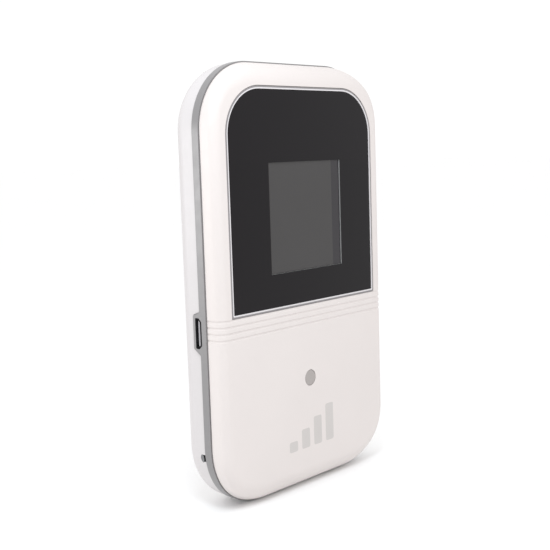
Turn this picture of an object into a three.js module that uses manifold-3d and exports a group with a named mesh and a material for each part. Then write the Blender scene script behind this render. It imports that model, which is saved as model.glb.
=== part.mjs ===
// Mobile hotspot: a pocket radio modem with a small display, a removable battery and a SIM card.
// Units are millimetres. X is to the right seen from the front, Y runs from the front to the back
// and Z is up. The origin is at the middle of the bottom edge. Depths are measured from the
// front face towards the back.

import * as THREE from 'three';
import { mergeVertices } from 'three/addons/utils/BufferGeometryUtils.js';
import Module from 'manifold-3d';

const wasm = await Module();
wasm.setup();

// ---------------------------------------------------------------- driving dimensions

const WIDTH = 60.7;
const HEIGHT = 104;
const DEPTH = 14;
const CORNER = 16;
const CORNER_STEPS = 12;
const TOP_CORNER_POWER = { rim: 2, front: 2.6 };
const BOTTOM_CORNER_POWER = { rim: 2.2, front: 2.4 };
const SMALL_CORNER = 3;
const SMALL_CORNER_STEPS = 4;
const GAP = 0.05;
const CUT_PAST = 1;

// The grey band between the two white shells stands proud of them.
const BAND_PROUD = 0.3;
const BAND_FRONT = 4.62;
const BAND_BACK = 6.7;
const BAND_WALL = 2.6;

// Front shell. Its side edges are small quarter ellipses; its ends curve away over a longer arc.
const SIDE_EDGE = { in: 2.2, deep: 2, steps: 5 };
const END_EDGE_IN = 5.1;
const END_EDGE_STEPS = 3;
const FRONT_WALL = 1.5;
const SIDE_WALL = 1.3;
const RIM_DEPTH = BAND_FRONT - GAP;
const REBATE_FRONT = 3.5;
const BOSS_RADIUS = 2.2;
const OVERLAP = 0.1;

// Grooves round the front shell, just under the window
const GROOVE_Z = [45.45, 43.97, 42.5, 41.02];
const GROOVE_WIDTH = 0.5;
const GROOVE_DEPTH = 0.25;

// Window lens and the trim ring round it
const LENS_WIDTH = 51.2;
const LENS_BOTTOM = 46.55;
const LENS_TOP = 97.36;
const LENS_CORNER_TOP = 10.6;
const LENS_CORNER_BOTTOM = 0.6;
const LENS_FRONT = 0.08;
const LENS_BACK = 1.1;
const TRIM_WIDTH = 0.8;
const TRIM_FRONT = 0.02;
const TRIM_CHAMFER_DEEP = 0.35;
const RECESS_DEPTH = 1.32;
const RECESS_PLAY = 0.1;
const LEDGE_BACK = 2.3;
const LEDGE_MARGIN = 1.6;
const TAPE_WIDTH = 1.4;
const TAPE_PLAY = 0.02;

// Display module behind the lens
const DISPLAY_X = 0.42;
const DISPLAY_Z = 67.5;
const PANEL = { width: 29.6, above: 15.1, below: 18.6, front: 1.42, back: 2.7 };
const TRAY = { width: 31, above: 15.9, below: 19.4, behindPanelFront: 0.3, back: 3.9 };
const TRAY_PLAY = 0.3;
const PANEL_PLAY = 0.1;
const GASKET = { opening: 13.3, outer: 14.3, play: 0.04 };

// Power button in the lower half of the front, the collar behind it and its switch
const BUTTON_Z = 27.5;
const BUTTON = { radius: 2, hole: 2.15, front: 0.04, stem: 0.9, stemBack: 3 };
const BUTTON_FLANGE = { radius: 2.9, thick: 0.6 };
const COLLAR = { outer: 4.05, inner: 3.25, tall: 1.2 };
const SWITCH = { half: 2.1, front: 3.7, wellRadius: 1, wellBack: 4.5 };
const PLUNGER = { radius: 0.85, front: 3.02, back: 4.02 };
const ROUND_STEPS = 24;
const SMALL_ROUND_STEPS = 16;

// Ribbon from the display to its socket on the board's front
const FLEX = { half: 6, thick: 0.16, lapUp: 3, bendUpper: 1, bendLower: 3, end: 6.5, standOff: 0.25 };
const FLEX_SOCKET = { half: 6.6, drop: 6.8, tall: 3, thick: 1.1 };

// Main board, and the thin joint under everything that is soldered to it
const BOARD_FRONT = 4.8;
const BOARD_BACK = 5.8;
const BOARD_INSET = 3.4;
const SOLDER = 0.02;
const SCREW_CLEARANCE_ON_BOARD = 1;
const CAN_HEIGHT = 1.35;
const CAN_SHEET = 0.2;

// Four screws hold the chassis and the board to the front shell.
const SCREW_AT = [[-21.3, 94.4], [21.3, 94.4], [-21.3, 9.6], [21.3, 9.6]];
const SCREW_SEAT = 8.2;
const SCREW_TIP = 3.2;
const SCREW_RADIUS = 0.8;
const SCREW_HEAD = { radius: 1.5, thick: 1.1, seatRadius: 1.75 };
const SCREW_CROSS = { half: 0.9, wide: 0.34, deep: 0.5 };
const PILOT_PAST_TIP = 0.3;
const POST_RADIUS = 2.6;

// Chassis: the deck round the battery bay and the floor under the battery. The lip is the band's.
const DECK_FRONT = 11.2;
const DECK_BACK = 12.2;
const FLOOR_FRONT = 7.3;
const FLOOR_BACK = 8.1;
const DECK = { side: 2.2, sideBend: 2.6, bendDepth: 10.6, flat: 3.8, hollow: 4.3 };
const BAY = { z: 56, width: 43.8, height: 60.8, wall: 1, corner: 1.6 };
const CONTACT_OPENING = { half: 6, bottom: 24, top: 26.2 };
const LIP = { clearance: 0.15, ahead: 1, behind: 0.5 };

// Battery
const BATTERY = { width: 43, bottom: 26, top: 86, capTop: 30, front: 8.25, back: 12.1, corner: 1.4 };
const TERMINAL_X = [-3, 0, 3];
const TERMINAL = { half: 0.9, front: 9, back: 11.2, thick: 0.11 };
const CONNECTOR = { half: 5.6, bottom: 20, top: 25.2, back: 11 };
const CONTACT = { half: 0.5, depth: 10.1, foot: 0.9, radius: 0.6, tip: 0.5, base: 25.3, steps: 6 };

// SIM card, its socket and the channel that it slides out through
const SIM = { x: 6, width: 15, length: 25, bottom: 36, front: 6.5, back: 7.26, clip: 3 };
const SIM_CHANNEL = { half: 8.2, bottom: 35.4, top: 78.2, floorFrom: 56, front: 5.95, back: 6.4 };
const SIM_CHANNEL_WALL = 1;
const SIM_SOCKET = { bottom: 38, top: 54, shellBottom: 40, shellTop: 52, sheet: 0.2, side: 0.4 };

// Charging socket (micro USB size) in the left side, and the bump of the band round it
const PORT = { z: 42.5, depth: 7.07, wide: 7.15, tall: 2 };
const PORT_CORNER = 0.42;
const PORT_BODY = { wide: 7, tall: 1.86, mouth: 30.2, end: 24, sheet: 0.2 };
const PORT_ROOM_BEHIND = 0.4;
const TONGUE = { setBack: 0.25, half: 0.38, halfWide: 2.95, root: 1.4, play: 0.06 };
const BUMP = { baseLow: 37.4, baseHigh: 47.4, topLow: 38.9, topHigh: 46.6, back: 8.75, root: 0.5 };

// Back cover
const COVER_RIM = BAND_BACK + GAP;
const COVER_BEND = 9.9;
const COVER_EDGE = { side: 4.1, end: 6.2 };
const COVER_WALL_BACK = 1.25;
const COVER_EDGE_STEPS = 7;
const BUMP_CLEARANCE = 0.12;
const RIM_CUT = 4;

// Fingernail notch in the cover's left side, and the snap hooks along its rim
const PRY = { z: 13.1, half: 0.85, slotDepth: 1 };
const PRY_DISH = { radius: 1.1, out: 0.45, back: 1.1, deep: 0.75, tall: 1.36 };
const HOOK = { reach: 0.4, root: 0.2, back: 0.5, thick: 0.9, sideHalf: 2.5, endHalf: 4 };
const HOOK_SIDE_Z = [24, 60, 80];

// Reset switch behind a pin hole in the deck
const RESET = { x: 12, z: 14, hole: 0.9, half: 1.7, back: 7.4, well: 0.7, wellFront: 6.6 };
const RESET_PLUNGER = { radius: 0.6, front: 6.9, back: 8.3 };

// Foil antennas on the deck, and the pins that join them to the board
const FOIL = 0.18;
const COMB_SPINE = 2.2;
const COMB_MAIN = { left: -17, right: 6, bottom: 13.9, top: 21.8, teeth: 5 };
const COMB_SECOND = { left: -14, right: 14, bottom: 91.9, top: 98.2, teeth: 6 };
const WIFI_STRIP = { left: 23.9, right: 25.9, bottom: 30, top: 62 };
const PIN_RADIUS = 0.6;
const PIN_HOLE = 0.9;
const ANTENNA_PINS = [
  { name: 'antenna_pin_main', x: -8, z: 15 },
  { name: 'antenna_pin_second', x: 8, z: 93 },
  { name: 'antenna_pin_wifi', x: 24.9, z: 40 },
];

// Chips and the two shield cans over them, on the back of the board
const CHIPS = [
  { name: 'modem_chip', x: -12.4, z: 74, width: 11, height: 11, thick: 0.9 },
  { name: 'memory_chip', x: -12.4, z: 59, width: 9, height: 11, thick: 0.8 },
  { name: 'power_chip', x: -8, z: 36.5, width: 7, height: 7, thick: 0.8 },
  { name: 'wifi_chip', x: -16.5, z: 36, width: 5.5, height: 6, thick: 0.7 },
];
const CANS = [
  { name: 'modem_shield', left: -21, right: -3.6, bottom: 50, top: 84.5 },
  { name: 'power_shield', left: -21, right: -3.6, bottom: 29, top: 45.5 },
];

// Blank label on the bay's floor
const LABEL = { left: -20, right: -4.5, bottom: 33, top: 47, thick: 0.08 };

// ---------------------------------------------------------------- materials

function plastic(colour, roughness) {
  return new THREE.MeshStandardMaterial({ color: colour, roughness, metalness: 0 });
}

function metal(colour, roughness) {
  return new THREE.MeshStandardMaterial({ color: colour, roughness, metalness: 1 });
}

const WHITE_SHELL = plastic(0xf2f1ef, 0.3);
const BAND_GREY = plastic(0x9f9d9f, 0.45);
const CHASSIS_GREY = plastic(0x5c5c60, 0.6);
const BLACK_GLASS = plastic(0x111113, 0.08);
const SILVER_TRIM = metal(0xd6d6d8, 0.3);
const BUTTON_GREY = plastic(0xb3aeaa, 0.45);
const PANEL_GREY = plastic(0x57565a, 0.2);
const TRAY_WHITE = plastic(0xe6e6e2, 0.5);
const TAPE_BLACK = plastic(0x151515, 0.9);
const FLEX_AMBER = plastic(0xa86a2c, 0.45);
const BOARD_GREEN = plastic(0x1c4a33, 0.5);
const CHIP_BLACK = plastic(0x1b1b1d, 0.55);
const NYLON_BLACK = plastic(0x202022, 0.6);
const TONGUE_GREY = plastic(0xb2b0b4, 0.5);
const CAN_TIN = metal(0xb9bcc0, 0.35);
const STEEL = metal(0xc4c6ca, 0.28);
const GOLD = metal(0xd9b45a, 0.3);
const COPPER = metal(0xc98a55, 0.35);
const CELL_SILVER = metal(0xb4b7bb, 0.45);
const LABEL_WHITE = plastic(0xeceae4, 0.6);

// ---------------------------------------------------------------- outlines and solids

// Points of a rounded rectangle about x = 0, anticlockwise seen from the front, as [x, z].
function roundedOutline(width, bottom, top, radiusTop, radiusBottom) {
  const right = width / 2;
  const left = -width / 2;
  const corners = [
    [right - radiusBottom, bottom + radiusBottom, radiusBottom, -90],
    [right - radiusTop, top - radiusTop, radiusTop, 0],
    [left + radiusTop, top - radiusTop, radiusTop, 90],
    [left + radiusBottom, bottom + radiusBottom, radiusBottom, 180],
  ];
  const points = [];
  for (const [x, z, radius, start] of corners) {
    const steps = radius < SMALL_CORNER ? SMALL_CORNER_STEPS : CORNER_STEPS;
    for (let i = 0; i <= steps; i += 1) {
      const angle = THREE.MathUtils.degToRad(start + (90 * i) / steps);
      points.push([x + radius * Math.cos(angle), z + radius * Math.sin(angle)]);
    }
  }
  return points;
}

function fuller(part, power) {
  return Math.sign(part) * Math.abs(part) ** (2 / power);
}

// The object's own outline with its sides and its ends moved inwards. A corner of power 2 is a plain
// arc and a higher power makes it fuller: forward goes from 0 at the rim to 1 at the flat front.
function unevenOutline(side, end, forward) {
  const points = [];
  for (const [toRight, toTop, start] of [[1, 0, -90], [1, 1, 0], [-1, 1, 90], [-1, 0, 180]]) {
    const x = toRight * (WIDTH / 2 - CORNER);
    const z = toTop ? HEIGHT - CORNER : CORNER;
    const { rim, front } = toTop ? TOP_CORNER_POWER : BOTTOM_CORNER_POWER;
    const power = THREE.MathUtils.lerp(rim, front, forward);
    for (let i = 0; i <= CORNER_STEPS; i += 1) {
      const angle = THREE.MathUtils.degToRad(start + (90 * i) / CORNER_STEPS);
      const across = (CORNER - side) * fuller(Math.cos(angle), power);
      const up = (CORNER - end) * fuller(Math.sin(angle), power);
      points.push([x + across, z + up]);
    }
  }
  return points;
}

// The object's own outline, moved inwards by inset.
function bodyOutline(inset) {
  return unevenOutline(inset, inset, 0);
}

function circleOutline(radius, x = 0, z = 0, steps = ROUND_STEPS) {
  const points = [];
  for (let i = 0; i < steps; i += 1) {
    const angle = (2 * Math.PI * i) / steps;
    points.push([x + radius * Math.cos(angle), z + radius * Math.sin(angle)]);
  }
  return points;
}

function boxOutline(left, right, bottom, top) {
  return [[left, bottom], [right, bottom], [right, top], [left, top]];
}

function extrude(points, thickness) {
  const shape = new THREE.Shape(points.map(([u, v]) => new THREE.Vector2(u, v)));
  return new THREE.ExtrudeGeometry(shape, { depth: thickness, bevelEnabled: false, steps: 1 });
}

function toSolid(geometry) {
  const bare = geometry.clone();
  bare.deleteAttribute('normal');
  bare.deleteAttribute('uv');
  const merged = mergeVertices(bare, 1e-5);
  const vertProperties = new Float32Array(merged.getAttribute('position').array);
  const triVerts = new Uint32Array(merged.getIndex().array);
  return new wasm.Manifold(new wasm.Mesh({ numProp: 3, vertProperties, triVerts }));
}

// A front-view outline [x, z] given thickness from one depth to another.
function slab(points, front, back) {
  const geometry = extrude(points, back - front);
  geometry.rotateX(Math.PI / 2);
  geometry.translate(0, back - DEPTH / 2, 0);
  return toSolid(geometry);
}

// A side-view outline [depth, z] given thickness from one X to another.
function sideSlab(points, left, right) {
  const geometry = extrude(points, right - left);
  const axes = new THREE.Matrix4().makeBasis(
    new THREE.Vector3(0, 1, 0),
    new THREE.Vector3(0, 0, 1),
    new THREE.Vector3(1, 0, 0),
  );
  geometry.applyMatrix4(axes);
  geometry.translate(left, -DEPTH / 2, 0);
  return toSolid(geometry);
}

function box(left, right, front, back, bottom, top) {
  return slab(boxOutline(left, right, bottom, top), front, back);
}

function drum(radius, x, z, front, back, steps = ROUND_STEPS) {
  return slab(circleOutline(radius, x, z, steps), front, back);
}

// A closed skin through rings of equal point count, given as [outline, depth] from front to back.
function loft(rings) {
  const count = rings[0][0].length;
  const positions = [];
  for (const [outline, depth] of rings) {
    for (const [x, z] of outline) positions.push(x, depth - DEPTH / 2, z);
  }
  const frontDepth = rings[0][1] - DEPTH / 2;
  const backDepth = rings[rings.length - 1][1] - DEPTH / 2;
  const frontCentre = positions.length / 3;
  positions.push(0, frontDepth, HEIGHT / 2, 0, backDepth, HEIGHT / 2);
  const lastRing = (rings.length - 1) * count;
  const index = [];
  for (let i = 0; i < count; i += 1) {
    const next = (i + 1) % count;
    for (let ring = 0; ring < rings.length - 1; ring += 1) {
      const here = ring * count;
      const behind = here + count;
      index.push(here + i, behind + i, behind + next, here + i, behind + next, here + next);
    }
    index.push(frontCentre, i, next);
    index.push(frontCentre + 1, lastRing + next, lastRing + i);
  }
  const geometry = new THREE.BufferGeometry();
  geometry.setAttribute('position', new THREE.Float32BufferAttribute(positions, 3));
  geometry.setIndex(index);
  return toSolid(geometry);
}

function joined(solids) {
  return solids.reduce((total, solid) => total.add(solid));
}

function cut(solid, tools) {
  return tools.reduce((left, tool) => left.subtract(tool), solid);
}

const model = new THREE.Group();

// Turns a solid into a named mesh. place is where the solid's own origin goes.
function piece(name, solid, material, place = [0, 0, 0]) {
  const { vertProperties, triVerts } = solid.getMesh();
  const geometry = new THREE.BufferGeometry();
  geometry.setAttribute('position', new THREE.Float32BufferAttribute(vertProperties, 3));
  geometry.setIndex(Array.from(triVerts));
  geometry.computeVertexNormals();
  const mesh = new THREE.Mesh(geometry, material);
  mesh.name = name;
  mesh.position.set(...place);
  model.add(mesh);
}

// ---------------------------------------------------------------- window and its outlines

// The lens outline, moved outwards by grow.
function windowOutline(grow) {
  return roundedOutline(
    LENS_WIDTH + 2 * grow,
    LENS_BOTTOM - grow,
    LENS_TOP + grow,
    LENS_CORNER_TOP + grow,
    Math.max(LENS_CORNER_BOTTOM + grow, GAP),
  );
}

function displayOutline(part, grow) {
  return boxOutline(
    DISPLAY_X - part.width / 2 - grow,
    DISPLAY_X + part.width / 2 + grow,
    DISPLAY_Z - part.below - grow,
    DISPLAY_Z + part.above + grow,
  );
}

// ---------------------------------------------------------------- front shell

// How far a side edge of the front shell lies inside the rim, at a depth.
function sideEdge(depth) {
  const left = Math.max(0, 1 - depth / SIDE_EDGE.deep);
  return SIDE_EDGE.in * (1 - Math.sqrt(1 - left * left));
}

// The same for the top and bottom edges: an arc from the flat front to the rim.
function endEdge(depth) {
  const radius = (END_EDGE_IN * END_EDGE_IN + RIM_DEPTH * RIM_DEPTH) / (2 * RIM_DEPTH);
  const left = radius - depth;
  return END_EDGE_IN - Math.sqrt(radius * radius - left * left);
}

// The solid inside the front shell's outer skin, from the front to the rim, moved in from the
// edges by inwards and back by backwards.
function frontSkin(inwards, backwards) {
  const depths = [];
  for (let i = 0; i <= SIDE_EDGE.steps; i += 1) {
    depths.push(SIDE_EDGE.deep * (1 - Math.cos((Math.PI / 2) * (i / SIDE_EDGE.steps))));
  }
  for (let i = 1; i <= END_EDGE_STEPS; i += 1) {
    depths.push(SIDE_EDGE.deep + (RIM_DEPTH - SIDE_EDGE.deep) * (i / END_EDGE_STEPS));
  }
  const edge = BAND_PROUD + inwards;
  return loft(depths.map((depth) => {
    const forward = 1 - depth / RIM_DEPTH;
    const outline = unevenOutline(edge + sideEdge(depth), edge + endEdge(depth), forward);
    return [outline, depth + backwards];
  }));
}

// One groove: a level slice of the skin's outermost layer.
function groove(z) {
  const half = GROOVE_WIDTH / 2;
  const slice = box(-WIDTH, WIDTH, -CUT_PAST, RIM_DEPTH + CUT_PAST, z - half, z + half);
  const inside = slab(bodyOutline(BAND_PROUD + GROOVE_DEPTH), RIM_DEPTH, RIM_DEPTH + 2 * CUT_PAST);
  return cut(slice, [frontSkin(GROOVE_DEPTH, GROOVE_DEPTH), inside]);
}

function frontShell() {
  const skin = cut(frontSkin(0, 0), [
    frontSkin(SIDE_WALL, FRONT_WALL),
    slab(bodyOutline(BAND_PROUD + SIDE_WALL), REBATE_FRONT, RIM_DEPTH + CUT_PAST),
  ]);
  const overlapFront = FRONT_WALL - OVERLAP;
  const ledge = slab(windowOutline(TRIM_WIDTH + LEDGE_MARGIN), overlapFront, LEDGE_BACK);
  const collar = drum(COLLAR.outer, 0, BUTTON_Z, overlapFront, FRONT_WALL + COLLAR.tall);
  const bosses = SCREW_AT.map(([x, z]) => drum(BOSS_RADIUS, x, z, overlapFront, BOARD_FRONT - GAP));
  const pilotFront = SCREW_TIP - PILOT_PAST_TIP;
  const pilots = SCREW_AT.map(([x, z]) => drum(SCREW_RADIUS + GAP, x, z, pilotFront, BOARD_FRONT));
  return cut(joined([skin, ledge, collar, ...bosses]), [
    slab(windowOutline(TRIM_WIDTH + RECESS_PLAY), -CUT_PAST, RECESS_DEPTH),
    slab(displayOutline(TRAY, TRAY_PLAY), 0, LEDGE_BACK + CUT_PAST),
    drum(BUTTON.hole, 0, BUTTON_Z, -CUT_PAST, FRONT_WALL + CUT_PAST),
    drum(COLLAR.inner, 0, BUTTON_Z, FRONT_WALL + OVERLAP, FRONT_WALL + COLLAR.tall + CUT_PAST),
    ...pilots,
    ...GROOVE_Z.map(groove),
  ]);
}

// ---------------------------------------------------------------- window

// A ring with a narrow level land inside and a chamfer that falls away outside.
function windowTrim() {
  const back = RECESS_DEPTH - GAP;
  const whole = loft([
    [windowOutline(TRIM_WIDTH / 2), TRIM_FRONT],
    [windowOutline(TRIM_WIDTH), TRIM_FRONT + TRIM_CHAMFER_DEEP],
    [windowOutline(TRIM_WIDTH), back],
  ]);
  return whole.subtract(slab(windowOutline(GAP), -CUT_PAST, back + CUT_PAST));
}

function lensTape() {
  const ring = slab(windowOutline(-GAP), LENS_BACK + TAPE_PLAY, RECESS_DEPTH - TAPE_PLAY);
  return ring.subtract(slab(windowOutline(-TAPE_WIDTH), 0, RECESS_DEPTH));
}

function addWindow() {
  piece('window_lens', slab(windowOutline(0), LENS_FRONT, LENS_BACK), BLACK_GLASS);
  piece('window_trim', windowTrim(), SILVER_TRIM);
  piece('lens_tape', lensTape(), TAPE_BLACK);
}

// ---------------------------------------------------------------- display

function squareAroundView(half) {
  return boxOutline(DISPLAY_X - half, DISPLAY_X + half, DISPLAY_Z - half, DISPLAY_Z + half);
}

function displayGasket() {
  const { opening, outer, play } = GASKET;
  const frame = slab(squareAroundView(outer), LENS_BACK + play, PANEL.front - play);
  return frame.subtract(slab(squareAroundView(opening), 0, PANEL.back));
}

// A shallow tray that holds the light guide and carries the panel on its front.
function displayTray() {
  const body = slab(displayOutline(TRAY, 0), PANEL.front + TRAY.behindPanelFront, TRAY.back);
  return body.subtract(slab(displayOutline(PANEL, PANEL_PLAY), 0, PANEL.back + SOLDER));
}

// The ribbon leaves the tray's lower edge, turns back and lies on the board's front.
function displayFlex() {
  const { half, thick, lapUp, bendUpper, bendLower, end, standOff } = FLEX;
  const trayBottom = DISPLAY_Z - TRAY.below;
  const frontSide = [
    [TRAY.back + SOLDER, trayBottom + lapUp],
    [TRAY.back + SOLDER, trayBottom - bendUpper],
    [BOARD_FRONT - standOff, trayBottom - bendLower],
    [BOARD_FRONT - standOff, trayBottom - end],
  ];
  const backSide = frontSide.map(([depth, z]) => [depth + thick, z]).reverse();
  return sideSlab([...frontSide, ...backSide], DISPLAY_X - half, DISPLAY_X + half);
}

function displaySocket() {
  const { half, drop, tall, thick } = FLEX_SOCKET;
  const top = DISPLAY_Z - TRAY.below - drop;
  const outline = boxOutline(DISPLAY_X - half, DISPLAY_X + half, top - tall, top);
  return slab(outline, BOARD_FRONT - thick, BOARD_FRONT - SOLDER);
}

function addDisplay() {
  piece('display_gasket', displayGasket(), TAPE_BLACK);
  piece('display_panel', slab(displayOutline(PANEL, 0), PANEL.front, PANEL.back), PANEL_GREY);
  piece('display_tray', displayTray(), TRAY_WHITE);
  piece('display_flex', displayFlex(), FLEX_AMBER);
  piece('display_socket', displaySocket(), NYLON_BLACK);
}

// ---------------------------------------------------------------- power button

function powerButton() {
  const flangeFront = FRONT_WALL + 2 * OVERLAP;
  const flangeBack = flangeFront + BUTTON_FLANGE.thick;
  return joined([
    drum(BUTTON.radius, 0, BUTTON_Z, BUTTON.front, flangeFront + OVERLAP),
    drum(BUTTON_FLANGE.radius, 0, BUTTON_Z, flangeFront, flangeBack),
    drum(BUTTON.stem, 0, BUTTON_Z, flangeBack - OVERLAP, BUTTON.stemBack),
  ]);
}

function powerSwitch() {
  const { half, front, wellRadius, wellBack } = SWITCH;
  const body = box(-half, half, front, BOARD_FRONT - SOLDER, BUTTON_Z - half, BUTTON_Z + half);
  return body.subtract(drum(wellRadius, 0, BUTTON_Z, front - CUT_PAST, wellBack));
}

function addPowerButton() {
  piece('power_button', powerButton(), BUTTON_GREY);
  piece('power_switch', powerSwitch(), CHIP_BLACK);
  piece('power_plunger', drum(PLUNGER.radius, 0, BUTTON_Z, PLUNGER.front, PLUNGER.back), STEEL);
}

// ---------------------------------------------------------------- grey band between the shells

// The band widens towards the back round the charging socket. grow widens the bump.
function portBump(grow, left, right) {
  const profile = [
    [BAND_BACK - BUMP.root, BUMP.baseLow - grow],
    [BAND_BACK, BUMP.baseLow - grow],
    [BUMP.back + grow, BUMP.topLow - grow],
    [BUMP.back + grow, BUMP.topHigh + grow],
    [BAND_BACK, BUMP.baseHigh + grow],
    [BAND_BACK - BUMP.root, BUMP.baseHigh + grow],
  ];
  return sideSlab(profile, left, right);
}

// The socket's cross-section as [depth, z]: wide at the back, with its front corners cut off.
function portProfile(wide, tall) {
  const low = PORT.z - wide / 2;
  const high = PORT.z + wide / 2;
  const back = PORT.depth + tall / 2;
  const front = PORT.depth - tall / 2;
  const bevel = tall * PORT_CORNER;
  return [
    [front, low + bevel],
    [front + bevel, low],
    [back, low],
    [back, high],
    [front + bevel, high],
    [front, high - bevel],
  ].reverse();
}

// The opening that the socket sits in, right through to the room behind it.
function portCut() {
  return sideSlab(portProfile(PORT.wide, PORT.tall), -WIDTH, -PORT_BODY.end + PORT_ROOM_BEHIND);
}

function midBand() {
  const ring = slab(bodyOutline(0), BAND_FRONT, BAND_BACK);
  const lipOutline = bodyOutline(BAND_PROUD + SIDE_WALL + LIP.clearance);
  const lip = slab(lipOutline, BAND_FRONT - LIP.ahead, BAND_FRONT + LIP.behind);
  const bump = portBump(0, -WIDTH / 2, -WIDTH / 2 + BAND_WALL);
  const hollow = slab(bodyOutline(BAND_WALL), 0, BAND_BACK + GAP);
  return joined([ring, lip]).subtract(hollow).add(bump).subtract(portCut());
}

// ---------------------------------------------------------------- chassis

// The raised deck is a shell, open towards the front. It stands on the band, with a skirt inside it.
function deckShell() {
  const outer = loft([
    [bodyOutline(DECK.side), BAND_BACK + GAP],
    [bodyOutline(DECK.side), COVER_BEND],
    [bodyOutline(DECK.sideBend), DECK.bendDepth],
    [bodyOutline(DECK.flat), DECK_BACK],
  ]);
  const skirt = slab(bodyOutline(BAND_WALL + GAP), BOARD_BACK + GAP, COVER_BEND);
  return cut(outer.add(skirt), [
    slab(bodyOutline(DECK.hollow), 0, DECK_FRONT),
    portBump(GAP, -WIDTH, -WIDTH / 2 + BAND_WALL + GAP),
  ]);
}

function bayOutline(grow) {
  const half = BAY.height / 2 + grow;
  const corner = BAY.corner + grow;
  return roundedOutline(BAY.width + 2 * grow, BAY.z - half, BAY.z + half, corner, corner);
}

function simTrough() {
  const { half, top, floorFrom, front } = SIM_CHANNEL;
  const outer = half + SIM_CHANNEL_WALL;
  return box(SIM.x - outer, SIM.x + outer, front, FLOOR_BACK, floorFrom, top + SIM_CHANNEL_WALL);
}

// The room the card slides in, and the opening over the socket below it.
function simCuts() {
  const { half, bottom, top, floorFrom, back } = SIM_CHANNEL;
  return [
    box(SIM.x - half, SIM.x + half, back, FLOOR_BACK + CUT_PAST, bottom, top),
    box(SIM.x - half, SIM.x + half, 0, FLOOR_BACK + CUT_PAST, bottom, floorFrom),
  ];
}

function deckHole(radius, x, z) {
  return drum(radius, x, z, DECK_FRONT - CUT_PAST, DECK_BACK + CUT_PAST, SMALL_ROUND_STEPS);
}

function screwCuts([x, z]) {
  return [
    drum(SCREW_HEAD.seatRadius, x, z, SCREW_SEAT, DECK_BACK + CUT_PAST),
    drum(SCREW_RADIUS + 3 * GAP, x, z, BOARD_BACK, SCREW_SEAT + CUT_PAST),
  ];
}

function chassis() {
  const opening = CONTACT_OPENING;
  const contactCut = boxOutline(-opening.half, opening.half, opening.bottom, opening.top);
  const posts = SCREW_AT.map(([x, z]) => drum(POST_RADIUS, x, z, BOARD_BACK + GAP, DECK_BACK));
  const bayBlock = slab(bayOutline(BAY.wall), FLOOR_FRONT, DECK_BACK);
  return cut(joined([deckShell(), bayBlock, simTrough(), ...posts]), [
    slab(bayOutline(0), FLOOR_BACK, DECK_BACK + CUT_PAST),
    slab(contactCut, FLOOR_FRONT - CUT_PAST, DECK_BACK + CUT_PAST),
    deckHole(RESET.hole, RESET.x, RESET.z),
    ...simCuts(),
    ...SCREW_AT.flatMap(screwCuts),
    ...ANTENNA_PINS.map(({ x, z }) => deckHole(PIN_HOLE, x, z)),
    portCut(),
  ]);
}

// ---------------------------------------------------------------- screws

function chassisScrew() {
  const back = SCREW_SEAT + SCREW_HEAD.thick;
  const { half, wide, deep } = SCREW_CROSS;
  const steps = SMALL_ROUND_STEPS;
  const head = drum(SCREW_HEAD.radius, 0, 0, SCREW_SEAT + SOLDER, back, steps);
  const shank = drum(SCREW_RADIUS, 0, 0, SCREW_TIP, SCREW_SEAT + OVERLAP, steps);
  return cut(head.add(shank), [
    box(-half, half, back - deep, back + CUT_PAST, -wide / 2, wide / 2),
    box(-wide / 2, wide / 2, back - deep, back + CUT_PAST, -half, half),
  ]);
}

function addScrews() {
  SCREW_AT.forEach(([x, z], i) => {
    piece(`chassis_screw_${i + 1}`, chassisScrew(), STEEL, [x, 0, z]);
  });
}

// ---------------------------------------------------------------- main board

function mainBoard() {
  const blank = slab(bodyOutline(BOARD_INSET), BOARD_FRONT, BOARD_BACK);
  return cut(blank, SCREW_AT.map(([x, z]) => drum(SCREW_CLEARANCE_ON_BOARD, x, z, 0, DEPTH)));
}

// A pressed metal can, open towards the board.
function shieldCan({ left, right, bottom, top }) {
  const sheet = CAN_SHEET;
  const back = BOARD_BACK + SOLDER + CAN_HEIGHT;
  const inside = boxOutline(left + sheet, right - sheet, bottom + sheet, top - sheet);
  const outside = boxOutline(left, right, bottom, top);
  return slab(outside, BOARD_BACK + SOLDER, back).subtract(slab(inside, 0, back - sheet));
}

function chip({ x, z, width, height, thick }) {
  const outline = boxOutline(x - width / 2, x + width / 2, z - height / 2, z + height / 2);
  return slab(outline, BOARD_BACK + SOLDER, BOARD_BACK + thick);
}

function addBoard() {
  piece('main_board', mainBoard(), BOARD_GREEN);
  for (const can of CANS) piece(can.name, shieldCan(can), CAN_TIN);
  for (const part of CHIPS) piece(part.name, chip(part), CHIP_BLACK);
}

// ---------------------------------------------------------------- charging socket

function portShell() {
  const { wide, tall, sheet, mouth, end } = PORT_BODY;
  const outer = sideSlab(portProfile(wide, tall), -mouth, -end);
  const innerProfile = portProfile(wide - 2 * sheet, tall - 2 * sheet);
  return outer.subtract(sideSlab(innerProfile, -mouth - CUT_PAST, -end - sheet));
}

function portTongue() {
  const { wide, tall, sheet, mouth, end } = PORT_BODY;
  const room = sheet + TONGUE.play;
  const profile = portProfile(wide - 2 * room, tall - 2 * room);
  const block = sideSlab(profile, -end - TONGUE.root, -end - sheet - SOLDER);
  const low = PORT.z - TONGUE.halfWide;
  const high = PORT.z + TONGUE.halfWide;
  const blade = boxOutline(-mouth + TONGUE.setBack, -end - TONGUE.root / 2, low, high);
  return block.add(slab(blade, PORT.depth - TONGUE.half, PORT.depth + TONGUE.half));
}

function addChargingSocket() {
  piece('usb_shell', portShell(), STEEL);
  piece('usb_tongue', portTongue(), TONGUE_GREY);
}

// ---------------------------------------------------------------- SIM socket and card

function simSocketBase() {
  const half = SIM.width / 2;
  const outline = boxOutline(SIM.x - half, SIM.x + half, SIM_SOCKET.bottom, SIM_SOCKET.top);
  return slab(outline, BOARD_BACK + SOLDER, SIM.front - GAP);
}

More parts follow.
